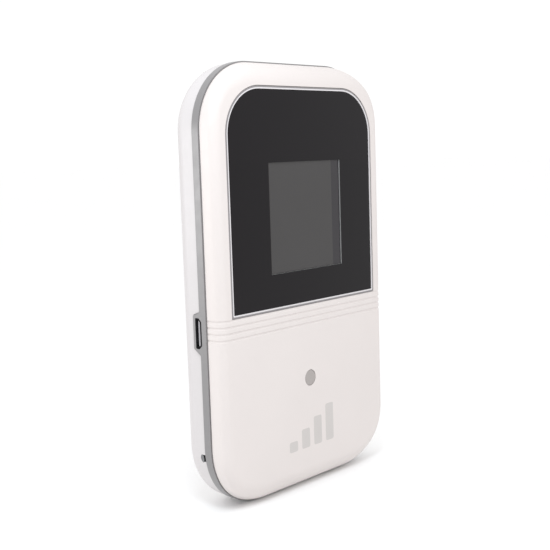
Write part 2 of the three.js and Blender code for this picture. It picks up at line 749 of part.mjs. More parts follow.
// A metal bridge over the card, open at both ends.
function simSocketShell() {
  const { shellBottom, shellTop, sheet, side } = SIM_SOCKET;
  const half = SIM.width / 2 + side;
  const back = SIM.back + GAP + sheet;
  const outside = boxOutline(SIM.x - half, SIM.x + half, shellBottom, shellTop);
  const inside = boxOutline(SIM.x - half + sheet, SIM.x + half - sheet, 0, HEIGHT);
  return slab(outside, BOARD_BACK + SOLDER, back).subtract(slab(inside, 0, back - sheet));
}

function simCard() {
  const left = SIM.x - SIM.width / 2;
  const right = SIM.x + SIM.width / 2;
  const top = SIM.bottom + SIM.length;
  const outline = [
    [left, SIM.bottom],
    [right - SIM.clip, SIM.bottom],
    [right, SIM.bottom + SIM.clip],
    [right, top],
    [left, top],
  ];
  return slab(outline, SIM.front, SIM.back);
}

function addSim() {
  piece('sim_socket_base', simSocketBase(), NYLON_BLACK);
  piece('sim_socket_shell', simSocketShell(), CAN_TIN);
  piece('sim_card', simCard(), LABEL_WHITE);
}

// ---------------------------------------------------------------- battery and its contacts

function batteryCell() {
  const { width, capTop, top, corner, front, back } = BATTERY;
  return slab(roundedOutline(width, capTop + SOLDER, top, corner, OVERLAP), front, back);
}

function batteryCap() {
  const { width, bottom, capTop, corner, front, back } = BATTERY;
  return slab(roundedOutline(width, bottom, capTop, OVERLAP, corner), front, back);
}

function batteryTerminal() {
  const { half, front, back, thick } = TERMINAL;
  const top = BATTERY.bottom - SOLDER / 2;
  return box(-half, half, front, back, top - thick, top);
}

// A leaf that bulges out of the connector towards its battery terminal.
function contactSpring() {
  const { half, depth, foot, radius, tip, base, steps } = CONTACT;
  const footZ = CONNECTOR.top + SOLDER;
  const outline = [[depth + foot, footZ]];
  for (let i = 0; i <= steps; i += 1) {
    const angle = (Math.PI * i) / steps;
    outline.push([depth + radius * Math.cos(angle), base + tip * Math.sin(angle)]);
  }
  outline.push([depth - foot, footZ]);
  return sideSlab(outline, -half, half);
}

function addBattery() {
  const { half, bottom, top, back } = CONNECTOR;
  piece('battery_cell', batteryCell(), CELL_SILVER);
  piece('battery_cap', batteryCap(), NYLON_BLACK);
  piece('battery_connector', box(-half, half, BOARD_BACK + SOLDER, back, bottom, top), NYLON_BLACK);
  TERMINAL_X.forEach((x, i) => {
    piece(`battery_terminal_${i + 1}`, batteryTerminal(), GOLD, [x, 0, 0]);
    piece(`battery_contact_${i + 1}`, contactSpring(), GOLD, [x, 0, 0]);
  });
}

// ---------------------------------------------------------------- reset switch

function resetSwitch() {
  const { x, z, half, back, well, wellFront } = RESET;
  const body = box(x - half, x + half, BOARD_BACK + SOLDER, back, z - half, z + half);
  return body.subtract(drum(well, x, z, wellFront, back + CUT_PAST, SMALL_ROUND_STEPS));
}

function resetPlunger() {
  const { radius, front, back } = RESET_PLUNGER;
  return drum(radius, RESET.x, RESET.z, front, back, SMALL_ROUND_STEPS);
}

function addResetSwitch() {
  piece('reset_switch', resetSwitch(), CHIP_BLACK);
  piece('reset_plunger', resetPlunger(), NYLON_BLACK);
}

// ---------------------------------------------------------------- antennas

function foil(left, right, bottom, top) {
  return box(left, right, DECK_BACK + SOLDER, DECK_BACK + SOLDER + FOIL, bottom, top);
}

// A comb of foil: a bar with teeth.
function combAntenna({ left, right, bottom, top, teeth }) {
  const pitch = (right - left) / (2 * teeth - 1);
  const bars = [foil(left, right, bottom, bottom + COMB_SPINE)];
  for (let i = 0; i < teeth; i += 1) {
    const start = left + 2 * i * pitch;
    bars.push(foil(start, start + pitch, bottom + COMB_SPINE - OVERLAP, top));
  }
  return joined(bars);
}

function antennaPin() {
  return drum(PIN_RADIUS, 0, 0, BOARD_BACK + SOLDER, DECK_BACK - SOLDER, SMALL_ROUND_STEPS);
}

function addAntennas() {
  const { left, right, bottom, top } = WIFI_STRIP;
  piece('antenna_main', combAntenna(COMB_MAIN), COPPER);
  piece('antenna_second', combAntenna(COMB_SECOND), COPPER);
  piece('antenna_wifi', foil(left, right, bottom, top), COPPER);
  for (const { name, x, z } of ANTENNA_PINS) piece(name, antennaPin(), GOLD, [x, 0, z]);
}

// ---------------------------------------------------------------- back cover

// A skin inside the cover's outer surface by wall that runs straight back from the rim and turns
// over into the flat back.
function coverSkin(wall, rimDepth, flatDepth) {
  const start = BAND_PROUD + wall;
  const rings = [[bodyOutline(start), rimDepth]];
  for (let i = 0; i <= COVER_EDGE_STEPS; i += 1) {
    const angle = (Math.PI / 2) * (i / COVER_EDGE_STEPS);
    const turned = 1 - Math.cos(angle);
    const side = start + (COVER_EDGE.side - wall) * turned;
    const end = start + (COVER_EDGE.end - wall) * turned;
    const depth = COVER_BEND + (flatDepth - COVER_BEND) * Math.sin(angle);
    rings.push([unevenOutline(side, end, 0), depth]);
  }
  return loft(rings);
}

// A fingernail notch in the rim: a shallow scooped dish behind a slot through the rim itself.
function pryNotch() {
  const dish = new THREE.SphereGeometry(PRY_DISH.radius, ROUND_STEPS, SMALL_ROUND_STEPS);
  dish.scale(1, PRY_DISH.deep, PRY_DISH.tall);
  dish.translate(-WIDTH / 2 - PRY_DISH.out, COVER_RIM + PRY_DISH.back - DEPTH / 2, PRY.z);
  const slot = boxOutline(-WIDTH, -WIDTH / 2 + RIM_CUT, PRY.z - PRY.half, PRY.z + PRY.half);
  return toSolid(dish).add(slab(slot, COVER_RIM - CUT_PAST, COVER_RIM + PRY.slotDepth));
}

function hook(left, right, bottom, top) {
  const front = COVER_RIM + HOOK.back;
  return box(left, right, front, front + HOOK.thick, bottom, top);
}

// Snap hooks on the inside of the rim: some along each side and one at each end.
function snapHooks() {
  const { reach, root, sideHalf, endHalf } = HOOK;
  const wall = BAND_PROUD + SIDE_WALL;
  const inner = WIDTH / 2 - wall;
  const hooks = [
    hook(-endHalf, endHalf, wall - root, wall + reach),
    hook(-endHalf, endHalf, HEIGHT - wall - reach, HEIGHT - wall + root),
  ];
  for (const z of HOOK_SIDE_Z) {
    hooks.push(hook(-inner - root, -inner + reach, z - sideHalf, z + sideHalf));
    hooks.push(hook(inner - reach, inner + root, z - sideHalf, z + sideHalf));
  }
  return hooks;
}

function backCover() {
  const outer = coverSkin(0, COVER_RIM, DEPTH);
  const inner = coverSkin(SIDE_WALL, COVER_RIM - CUT_PAST, DEPTH - COVER_WALL_BACK);
  return cut(joined([outer.subtract(inner), ...snapHooks()]), [
    portBump(BUMP_CLEARANCE, -WIDTH, -WIDTH / 2 + RIM_CUT),
    pryNotch(),
  ]);
}

// ---------------------------------------------------------------- the whole object

function addLabel() {
  const { left, right, bottom, top, thick } = LABEL;
  const front = FLOOR_BACK + SOLDER;
  piece('bay_label', box(left, right, front, front + thick, bottom, top), LABEL_WHITE);
}

piece('front_shell', frontShell(), WHITE_SHELL);
addWindow();
addDisplay();
addPowerButton();
piece('mid_band', midBand(), BAND_GREY);
piece('chassis', chassis(), CHASSIS_GREY);
addScrews();
addBoard();
addChargingSocket();
addSim();
addBattery();
addResetSwitch();
addAntennas();
addLabel();
piece('back_cover', backCover(), WHITE_SHELL);

export default model;
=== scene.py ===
"""Looks for the pocket mobile hotspot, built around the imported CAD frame.

Lengths in the tables are millimetres. Depths are measured from the front face towards the back.
"""

import math

import bmesh
import bpy
from mathutils import Matrix, Vector


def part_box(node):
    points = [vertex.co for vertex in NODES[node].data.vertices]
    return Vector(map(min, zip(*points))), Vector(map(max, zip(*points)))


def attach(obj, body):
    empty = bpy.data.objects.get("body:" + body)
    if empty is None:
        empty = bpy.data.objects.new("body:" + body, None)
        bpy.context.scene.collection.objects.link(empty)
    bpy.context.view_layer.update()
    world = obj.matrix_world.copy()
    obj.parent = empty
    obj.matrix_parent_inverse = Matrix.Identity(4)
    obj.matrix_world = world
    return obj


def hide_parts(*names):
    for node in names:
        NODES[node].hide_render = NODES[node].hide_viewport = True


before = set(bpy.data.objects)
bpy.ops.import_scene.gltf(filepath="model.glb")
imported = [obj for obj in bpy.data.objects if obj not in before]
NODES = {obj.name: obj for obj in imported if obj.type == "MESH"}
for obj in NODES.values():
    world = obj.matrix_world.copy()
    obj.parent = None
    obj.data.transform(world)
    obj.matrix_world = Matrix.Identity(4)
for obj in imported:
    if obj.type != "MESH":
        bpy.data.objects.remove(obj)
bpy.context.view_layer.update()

MM = 0.001
FRONT_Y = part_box("front_shell")[0].y
OVERLAP = 0.1  # how far a piece that is joined on reaches into the other
CUT_PAST = 1  # how far a cutter runs past what it cuts
MID_EDGE = 0.3  # a softened edge's middle ring, as a share of the edge's width


def depth_of(y):
    """The depth in millimetres of a point with that y."""
    return (y - FRONT_Y) / MM


# ---------------------------------------------------------------- dimensions, from the CAD boxes

band_low, band_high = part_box("mid_band")
shell_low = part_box("front_shell")[0]
cover_low, cover_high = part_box("back_cover")
lens_low, lens_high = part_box("window_lens")
trim_low, trim_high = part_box("window_trim")
button_low, button_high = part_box("power_button")
panel_low, panel_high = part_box("display_panel")
port_low, port_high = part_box("usb_shell")

WIDTH = (band_high.x - band_low.x) / MM
HEIGHT = (band_high.z - band_low.z) / MM
DEPTH = depth_of(cover_high.y)
PROUD = (shell_low.x - band_low.x) / MM
CORNER = 16
CORNER_STEPS = 28
# A corner's power at the shell's rim and at its flat front: 2 is a plain arc, more is fuller.
TOP_CORNER_POWERS = (2.0, 2.6)
BOTTOM_CORNER_POWERS = (2.2, 2.4)

# The front shell. Its side edges are quarter ellipses and its end edges are longer arcs.
SIDE_EDGE_IN = 2.2
SIDE_EDGE_DEEP = 2.0
END_EDGE_IN = 5.1
FRONT_RIM = 4.57
RIM_BEVEL = 0.1
WALL = 1.3
FRONT_WALL = 1.5
LEDGE_BACK = 2.3
LEDGE_MARGIN = 1.6
RECESS_DEPTH = 1.32
RECESS_PLAY = 0.08
REBATE_FRONT = 3.5
TRAY_PLAY = 0.3
GROOVE_Z = (45.45, 43.97, 42.5, 41.02)

# The grey band, its bump round the port, and the port's mouth with a thin rim inside it painted
# near-black as shade.
BAND_FRONT = 4.62
BAND_BACK = 6.7
BAND_WALL = 2.6
BAND_SOFT = 0.1
LIP_AHEAD = 1
LIP_INSET = 1.75
BUMP = {"base_low": 37.4, "base_high": 47.4, "top_low": 38.9, "top_high": 46.6, "back": 8.75}
BUMP_ROOT = 0.5  # how far the bump reaches into the band
BUMP_CORNER = 0.35
PORT_OPENING = (7.15, 2.0)
PORT_BEVEL = 0.42  # as a share of the opening's height
PORT_CORNER = 0.3
PORT_LIP = 0.38
PORT_LIP_BACK = 0.12  # the rim is this much wider at its front and narrower at its back
PORT_LIP_CORNER = 0.16
PORT_LIP_DEPTHS = (0.02, 0.04, 0.12, 0.13)
PORT_Z = (port_low.z + port_high.z) / 2 / MM
PORT_DEPTH = depth_of((port_low.y + port_high.y) / 2)

# The back cover, and the fingernail notch in its left side: a scooped dish behind a slot. The dish
# is painted dark grey as shade and the slot painted black as shade.
COVER_RIM = depth_of(cover_low.y)
COVER_BEND = 9.9
COVER_ROUND = 4.1
COVER_END_ROUND = 6.2
COVER_BACK_WALL = 1.25
COVER_BEVEL = 0.12
BUMP_ROOM = 0.12
SIDE_CUT = 4  # how far cuts in the left side reach inwards
PRY_Z = 13.1
DISH = {"radius": 1.25, "out": 0.5, "back": 1.2, "down": 0.45, "deep": 0.85, "tall": 1.5}
SLOT_HALF = 0.85
SLOT_DEPTH = 1.0

# The window, its trim, and the square view that the display's raised middle fills.
LENS_TOP_CORNER = 10.6
LENS_BOTTOM_CORNER = 0.3
LENS_ROUND = ((0.16, 0), (0.05, 0.04), (0, 0.16))  # (inwards, deeper) round its front edge
TRIM_WIDTH = (trim_high.x - lens_high.x) / MM
TRIM_CHAMFER = {"wide": 0.42, "deep": 0.12}
TRIM_PLAY = 0.06
TRIM_ROUND = {"wide": 0.04, "deep": 0.05}
VIEW = {"x": 0.42, "z": 67.5, "half": 13.1}
DISPLAY_PLAY = 0.03
DISPLAY_SUNK = 0.3
DISPLAY_STRIP = 3.1

# The power button: a cap, a wider flange behind the shell, and a stem.
BUTTON_RADIUS = 1.93
BUTTON_PLAY = 0.07
BUTTON_ROUND = ((0.22, 0), (0.07, 0.04), (0, 0.16))
BUTTON_Z = (button_low.z + button_high.z) / 2 / MM
FLANGE = {"radius": 2.9, "front": 1.7, "back": 2.3, "slope": 0.02}
STEM_RADIUS = 0.9

# The printed sign: bars of rising height.
SIGN = {"width": 3.0, "gap": 1.6, "base": 10.2, "corner": 0.5, "proud": 0.012, "sunk": 0.03}
SIGN_HEIGHTS = (2.6, 4.9, 7.2, 9.5)


# ---------------------------------------------------------------- node materials


def material(name):
    made = bpy.data.materials.new(name)
    made.use_nodes = True
    return made


def shader_of(mat):
    return mat.node_tree.nodes["Principled BSDF"]


def add_node(mat, kind, **settings):
    node = mat.node_tree.nodes.new(kind)
    for key, value in settings.items():
        setattr(node, key, value)
    return node


def link(mat, source, target):
    mat.node_tree.links.new(source, target)


def noise(mat, coords, scale, detail, roughness):
    made = add_node(mat, "ShaderNodeTexNoise")
    made.inputs["Scale"].default_value = scale
    made.inputs["Detail"].default_value = detail
    made.inputs["Roughness"].default_value = roughness
    link(mat, coords, made.inputs["Vector"])
    return made.outputs["Fac"]


def spread(mat, value, low, high):
    """Maps the middle half of a noise's range, where most of it lies, to low to high."""
    made = add_node(mat, "ShaderNodeMapRange")
    made.inputs["From Min"].default_value = 0.25
    made.inputs["From Max"].default_value = 0.75
    made.inputs["To Min"].default_value = low
    made.inputs["To Max"].default_value = high
    link(mat, value, made.inputs["Value"])
    return made.outputs["Result"]


def tint(mat, value, low, high):
    """Maps a 0 to 1 value to a colour between low and high."""
    made = add_node(mat, "ShaderNodeMix", data_type="RGBA")
    made.inputs["A"].default_value = (*low, 1)
    made.inputs["B"].default_value = (*high, 1)
    link(mat, value, made.inputs["Factor"])
    return made.outputs["Result"]


def grain_bump(mat, height, strength, distance):
    """Bends the surface's normal by a height, its distance in metres."""
    made = add_node(mat, "ShaderNodeBump")
    made.inputs["Strength"].default_value = strength
    made.inputs["Distance"].default_value = distance
    link(mat, height, made.inputs["Height"])
    link(mat, made.outputs["Normal"], shader_of(mat).inputs["Normal"])


DRIFT_SCALE = 60
PATCH_SCALE = 420
LEAST_ROUGHNESS = 0.02


def surface(
    name,
    colour,
    roughness,
    vary,
    grain,
    metallic=0.0,
    specular=0.5,
    tone=0.03,
):
    """A moulded or plated surface: fine grain, slow colour drift and uneven roughness.

    vary and tone are how far roughness and colour stray. grain is (noise scale, metres, strength).
    """
    grain_scale, grain_depth, grain_strength = grain
    mat = material(name)
    shader = shader_of(mat)
    coords = add_node(mat, "ShaderNodeTexCoord").outputs["Object"]
    drift = noise(mat, coords, DRIFT_SCALE, 2.0, 0.5)
    patch = noise(mat, coords, PATCH_SCALE, 4.0, 0.6)
    fine = noise(mat, coords, grain_scale, 3.0, 0.6)
    darker = tuple(c * (1 - tone) for c in colour)
    lighter = tuple(min(1.0, c * (1 + tone)) for c in colour)
    link(mat, tint(mat, spread(mat, drift, 0, 1), darker, lighter), shader.inputs["Base Color"])
    low = max(LEAST_ROUGHNESS, roughness - vary)
    link(mat, spread(mat, patch, low, roughness + vary), shader.inputs["Roughness"])
    shader.inputs["Metallic"].default_value = metallic
    shader.inputs["Specular IOR Level"].default_value = specular
    grain_bump(mat, fine, grain_strength, grain_depth)
    return mat


MOULDED_GRAIN = (3000, 0.000015, 0.18)
DISPLAY_GRAIN = (1200, 0.000004, 0.05)
TRIM_GRAIN = (2600, 0.00001, 0.15)
STEEL_GRAIN = (2000, 0.00001, 0.2)

WHITE = surface("white_shell", (0.69, 0.64, 0.623), 0.42, 0.05, MOULDED_GRAIN, tone=0.012)
COVER_WHITE = surface("white_cover", (0.605, 0.579, 0.582), 0.4, 0.05, MOULDED_GRAIN, tone=0.012)
# Painted shade: the notch's dish is the cover's plastic coloured dark grey, standing in for the
# shade in the scoop.
DISH_PAINTED_SHADE = surface("notch_dish_painted_shade", (0.2, 0.2, 0.205), 0.5, 0.05, MOULDED_GRAIN, tone=0.012)
# Painted shade: the port's rim and inner walls are the band's plastic coloured near-black, as a
# shadow gap.
PORT_PAINTED_SHADE = surface(
    "port_lead_in_painted_shade", (0.012, 0.012, 0.013), 0.85, 0.05, MOULDED_GRAIN, specular=0.04, tone=0.02
)
# Painted shade: the notch's slot is the cover's plastic coloured black, standing in for the dark
# hole.
SLOT_PAINTED_SHADE = surface("notch_slot_painted_shade", (0.01, 0.01, 0.01), 0.6, 0.05, MOULDED_GRAIN, tone=0.02)
BAND = surface(
    "grey_band", (0.208, 0.2, 0.202), 0.33, 0.05, (3600, 0.00002, 0.3), specular=0.9, tone=0.03
)
CHASSIS = surface("dark_chassis", (0.09, 0.09, 0.094), 0.55, 0.06, (2600, 0.00003, 0.4), tone=0.08)
GLASS = surface(
    "black_window", (0.0055, 0.0042, 0.0055), 0.07, 0.02, (900, 0.000004, 0.05), specular=0.19
)
# Painted reflection: the window opening's walls are coloured grey, standing in for the bright
# reflection along its edge.
WINDOW_EDGE_PAINTED_REFLECTION = surface("window_edge_painted_reflection", (0.3, 0.3, 0.3), 0.3, 0.04, (1500, 0.00001, 0.1))
DISPLAY = surface(
    "display_active", (0.051, 0.0485, 0.0485), 0.12, 0.02, DISPLAY_GRAIN, specular=0.28
)
DISPLAY_EDGE = surface(
    "display_border", (0.0325, 0.03, 0.0335), 0.14, 0.02, DISPLAY_GRAIN, specular=0.28
)
SILVER = surface("silver_trim", (0.685, 0.66, 0.675), 0.32, 0.05, TRIM_GRAIN, metallic=0.25)
# Painted shade: the trim's chamfer is the same silver coloured darker, standing in for the shaded
# gap.
SILVER_PAINTED_SHADE = surface("trim_chamfer_painted_shade", (0.245, 0.23, 0.235), 0.4, 0.05, TRIM_GRAIN, metallic=0.2)
BUTTON = surface("button_grey", (0.37, 0.34, 0.327), 0.45, 0.05, (2800, 0.00002, 0.25))
PRINT = surface("grey_print", (0.56, 0.53, 0.515), 0.5, 0.05, (3500, 0.00001, 0.2))
TIN = surface("tin_plate", (0.62, 0.63, 0.65), 0.34, 0.08, (1800, 0.00001, 0.2), metallic=1.0)
STEEL = surface("plated_steel", (0.5, 0.51, 0.53), 0.3, 0.08, STEEL_GRAIN, metallic=1.0)
# Painted shade: the port's metal shell is coloured near-black, standing in for the shadow ring in
# the port.
STEEL_PAINTED_SHADE = surface("steel_painted_shade", (0.06, 0.06, 0.065), 0.35, 0.08, STEEL_GRAIN, metallic=0.8)
GOLD = surface("gold_plate", (0.8, 0.56, 0.22), 0.28, 0.06, (2200, 0.00001, 0.15), metallic=1.0)
COPPER = surface("copper_foil", (0.72, 0.42, 0.24), 0.32, 0.08, (2200, 0.00001, 0.2), metallic=1.0)
BOARD = surface("green_board", (0.02, 0.085, 0.045), 0.38, 0.06, (900, 0.00002, 0.3), tone=0.15)
CHIP = surface("chip_epoxy", (0.02, 0.02, 0.022), 0.5, 0.06, (2600, 0.00002, 0.35), tone=0.1)
NYLON = surface("black_nylon", (0.028, 0.028, 0.03), 0.48, 0.06, (2400, 0.00002, 0.3), tone=0.1)
TONGUE = surface("grey_tongue", (0.36, 0.35, 0.365), 0.45, 0.05, (2400, 0.00001, 0.2))
TRAY = surface("white_nylon", (0.78, 0.78, 0.76), 0.5, 0.05, (2400, 0.00002, 0.25))
FOAM = surface("black_foam", (0.02, 0.02, 0.02), 0.85, 0.08, (1500, 0.00006, 0.6), tone=0.15)
FLEX = surface("amber_flex", (0.35, 0.14, 0.03), 0.35, 0.05, (1500, 0.00001, 0.15), tone=0.1)
CARD = surface("white_card", (0.8, 0.8, 0.78), 0.4, 0.05, (2000, 0.00001, 0.15))
WRAP = surface("battery_wrap", (0.045, 0.047, 0.052), 0.34, 0.06, (700, 0.00003, 0.3), tone=0.12)
PAPER = surface("paper_label", (0.8, 0.79, 0.76), 0.6, 0.05, (1800, 0.00002, 0.3))


# ---------------------------------------------------------------- mesh helpers


def outline(width, bottom, top, top_radius, bottom_radius, steps):
    """Points (x, z) of a rounded rectangle about x = 0, anticlockwise seen from the front."""
    right, left = width / 2, -width / 2
    corners = (
        (right - bottom_radius, bottom + bottom_radius, bottom_radius, -90),
        (right - top_radius, top - top_radius, top_radius, 0),
        (left + top_radius, top - top_radius, top_radius, 90),
        (left + bottom_radius, bottom + bottom_radius, bottom_radius, 180),
    )
    points = []
    for x, z, radius, start in corners:
        for i in range(steps + 1):
            angle = math.radians(start + 90 * i / steps)
            points.append((x + radius * math.cos(angle), z + radius * math.sin(angle)))
    return points


def fuller(part, power):
    """A circle's sine or cosine turned into a superellipse's."""
    return math.copysign(abs(part) ** (2 / power), part)


def uneven_outline(side, end, forward=0.0):
    """The body's outline with its sides and its ends moved inwards by different amounts.

    forward goes from 0 at the rim of the front shell to 1 at its flat front.
    """
    points = []
    for to_right, to_top, start in ((1, 0, -90), (1, 1, 0), (-1, 1, 90), (-1, 0, 180)):
        x = to_right * (WIDTH / 2 - CORNER)
        z = HEIGHT - CORNER if to_top else CORNER
        rim_power, front_power = TOP_CORNER_POWERS if to_top else BOTTOM_CORNER_POWERS
        power = rim_power + (front_power - rim_power) * forward
        for i in range(CORNER_STEPS + 1):
            angle = math.radians(start + 90 * i / CORNER_STEPS)
            across = (CORNER - side) * fuller(math.cos(angle), power)
            points.append((x + across, z + (CORNER - end) * fuller(math.sin(angle), power)))
    return points


def body_outline(inset):
    return uneven_outline(inset, inset)


def window_outline(grow):
    return outline(
        (lens_high.x - lens_low.x) / MM + 2 * grow,
        lens_low.z / MM - grow,
        lens_high.z / MM + grow,
        LENS_TOP_CORNER + grow,
        LENS_BOTTOM_CORNER,
        CORNER_STEPS,
    )


def circle(radius, z, steps=48):
    """Points (x, z) of a circle about x = 0."""
    angles = [2 * math.pi * i / steps for i in range(steps)]
    return [(radius * math.cos(angle), z + radius * math.sin(angle)) for angle in angles]


def make(name, vertices, faces, mats):
    """A mesh object from points (x, depth, z) in millimetres."""
    mesh = bpy.data.meshes.new(name)
    mesh.from_pydata([(x * MM, FRONT_Y + d * MM, z * MM) for x, d, z in vertices], [], faces)
    made = bpy.data.objects.new(name, mesh)
    bpy.context.scene.collection.objects.link(made)
    for mat in mats:
        mesh.materials.append(mat)
    shape = bmesh.new()
    shape.from_mesh(mesh)
    bmesh.ops.recalc_face_normals(shape, faces=shape.faces)
    shape.to_mesh(mesh)
    shape.free()
    return made


def stack_faces(total, count):
    """The faces of a stack of rings: the first and last ring's caps, then the walls between."""
    last = (total - 1) * count
    faces = [tuple(range(count)), tuple(reversed(range(last, last + count)))]
    for r in range(total - 1):
        for i in range(count):
            j = (i + 1) % count
            faces.append((r * count + i, r * count + j, (r + 1) * count + j, (r + 1) * count + i))
    return faces


def loft(name, rings, mats):
    """A closed solid through rings (points, depth) from front to back."""
    vertices = [(x, d, z) for points, d in rings for x, z in points]
    return make(name, vertices, stack_faces(len(rings), len(rings[0][0])), mats)


def hoop(name, rings, mats):
    """A closed ring through rings (points, depth), with the last joined to the first."""
    count, total = len(rings[0][0]), len(rings)
    vertices = [(x, d, z) for points, d in rings for x, z in points]
    faces = []
    for r in range(total):
        s = (r + 1) % total
        for i in range(count):
            j = (i + 1) % count
            faces.append((r * count + i, r * count + j, s * count + j, s * count + i))
    return make(name, vertices, faces, mats)


def side_loft(name, rings, mats):
    """A closed solid through rings (points, x) from left to right, its points (depth, z)."""
    vertices = [(x, d, z) for points, x in rings for d, z in points]
    return make(name, vertices, stack_faces(len(rings), len(rings[0][0])), mats)


def side_slab(name, points, left, right, mats):
    """An outline (depth, z) given thickness in X."""
    return side_loft(name, [(points, left), (points, right)], mats)


def boolean(target, cutter, operation="DIFFERENCE"):
    """Applies one boolean and removes the cutter."""
    modifier = target.modifiers.new("cut", "BOOLEAN")
    modifier.operation = operation
    modifier.solver = "EXACT"
    modifier.material_mode = "TRANSFER"
    modifier.object = cutter
    bake(target)
    bpy.data.objects.remove(cutter)


def bake(obj):
    """Replaces the object's mesh by the one its modifiers make."""
    graph = bpy.context.evaluated_depsgraph_get()
    mesh = bpy.data.meshes.new_from_object(obj.evaluated_get(graph), depsgraph=graph)
    obj.modifiers.clear()
    old, obj.data = obj.data, mesh
    bpy.data.meshes.remove(old)


WELD_DISTANCE = 0.00001
SHORTEST_EDGE = 0.000001


def weld(obj):
    """Joins points that a boolean left almost on each other."""
    shape = bmesh.new()
    shape.from_mesh(obj.data)
    bmesh.ops.remove_doubles(shape, verts=shape.verts, dist=WELD_DISTANCE)
    bmesh.ops.dissolve_degenerate(shape, edges=shape.edges, dist=SHORTEST_EDGE)
    shape.to_mesh(obj.data)
    shape.free()


def smooth(obj, angle):
    """Smooth shading with hard edges kept, and flat faces kept flat."""
    mesh = obj.data
    mesh.polygons.foreach_set("use_smooth", [True] * len(mesh.polygons))
    mesh.set_sharp_from_angle(angle=math.radians(angle))
    modifier = obj.modifiers.new("normals", "WEIGHTED_NORMAL")
    modifier.keep_sharp = True
    modifier.weight = 100


def place(obj, body, slot, *nodes):
    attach(obj, body)
    if nodes:
        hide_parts(*nodes)


# ---------------------------------------------------------------- front shell


def side_edge(depth):
    """How far a side edge of the shell lies inside its rim, at a depth."""
    left = max(0.0, 1 - depth / SIDE_EDGE_DEEP)
    return SIDE_EDGE_IN * (1 - math.sqrt(1 - left * left))


def end_edge(depth):
    """The same for the top and bottom edges: an arc from the flat front to the rim."""
    radius = (END_EDGE_IN * END_EDGE_IN + FRONT_RIM * FRONT_RIM) / (2 * FRONT_RIM)
    left = radius - depth
    return END_EDGE_IN - math.sqrt(radius * radius - left * left)


def skin_ring(depth, inwards=0.0, backwards=0.0):
    """One ring of the shell's skin, moved in from the edges and back."""
    edge = PROUD + inwards
    forward = 1 - depth / FRONT_RIM
    ring = uneven_outline(edge + side_edge(depth), edge + end_edge(depth), forward)
    return ring, depth + backwards


def skin_depths(steps=16, straight_steps=6):
    """Depths of the skin's rings: close together round the side edge, then even to the rim."""
    depths = [SIDE_EDGE_DEEP * (1 - math.cos(math.pi / 2 * i / steps)) for i in range(steps + 1)]
    rest = FRONT_RIM - SIDE_EDGE_DEEP
    depths += [SIDE_EDGE_DEEP + rest * (i + 1) / straight_steps for i in range(straight_steps)]
    return depths


def groove_cutter(z, width=0.7, bite=0.2, steps=12, bends=13):
    """A round bar that follows the skin from rim to rim at one height, biting shallowly into it.

    Each place of its path is (x, depth) and the skin's outward direction there.
    """
    radius = (width * width / 4 + bite * bite) / (2 * bite)
    out = radius - bite
    half = WIDTH / 2
    path = [(-half + PROUD, FRONT_RIM + CUT_PAST, -1, 0)]
    for i in range(bends, -1, -1):
        angle = math.pi / 2 * i / bends
        x = -half + PROUD + SIDE_EDGE_IN * (1 - math.sin(angle))
        depth = SIDE_EDGE_DEEP * (1 - math.cos(angle))
        nx, nd = -math.sin(angle) * SIDE_EDGE_DEEP, -math.cos(angle) * SIDE_EDGE_IN
        length = math.hypot(nx, nd)
        path.append((x, depth, nx / length, nd / length))
    path += [(-x, d, -nx, nd) for x, d, nx, nd in reversed(path)]
    vertices = []
    for x, d, nx, nd in path:
        for k in range(steps):
            angle = 2 * math.pi * k / steps
            along = out + radius * math.cos(angle)
            vertices.append((x + nx * along, d + nd * along, z + radius * math.sin(angle)))
    return make("groove", vertices, stack_faces(len(path), steps), [WHITE])


def tray_outline():
    """The opening behind the lens that the display's tray passes through."""
    low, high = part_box("display_tray")
    left, right = low.x / MM - TRAY_PLAY, high.x / MM + TRAY_PLAY
    bottom, top = low.z / MM - TRAY_PLAY, high.z / MM + TRAY_PLAY
    return [(left, bottom), (right, bottom), (right, top), (left, top)]


def front_block(name, points, front, back):
    """An outline (x, z) given thickness from one depth to another, in the shell's plastic."""
    return loft(name, [(points, front), (points, back)], [WHITE])


def build_front_shell():
    depths = skin_depths()
    rings = [skin_ring(depth) for depth in depths[:-1]]
    rings.append((body_outline(PROUD + RIM_BEVEL * MID_EDGE), FRONT_RIM - RIM_BEVEL))
    rings.append((body_outline(PROUD + RIM_BEVEL), FRONT_RIM))
    rings.append((body_outline(PROUD + WALL), FRONT_RIM))
    rings.append((body_outline(PROUD + WALL), REBATE_FRONT))
    inner = [depth for depth in depths if depth + FRONT_WALL < REBATE_FRONT - OVERLAP]
    rings += [skin_ring(depth, WALL, FRONT_WALL) for depth in reversed(inner)]
    shell = loft("shell_front", rings, [WHITE])

    ledge = window_outline(TRIM_WIDTH + LEDGE_MARGIN)
    boolean(shell, front_block("ledge", ledge, FRONT_WALL - OVERLAP, LEDGE_BACK), "UNION")
    recess = window_outline(TRIM_WIDTH + RECESS_PLAY)
    boolean(shell, front_block("recess", recess, -CUT_PAST, RECESS_DEPTH))
    boolean(shell, front_block("tray_opening", tray_outline(), 0, LEDGE_BACK + CUT_PAST))
    well = circle(BUTTON_RADIUS + BUTTON_PLAY, BUTTON_Z)
    boolean(shell, front_block("well", well, -CUT_PAST, FRONT_WALL + CUT_PAST))
    for z in GROOVE_Z:
        boolean(shell, groove_cutter(z))
    weld(shell)
    smooth(shell, 24)
    place(shell, "case", "white_shell", "front_shell")


# ---------------------------------------------------------------- window


def view_sides(inwards):
    """Left, right, bottom and top of the square view, moved inwards."""
    half = VIEW["half"] - inwards
    return VIEW["x"] - half, VIEW["x"] + half, VIEW["z"] - half, VIEW["z"] + half


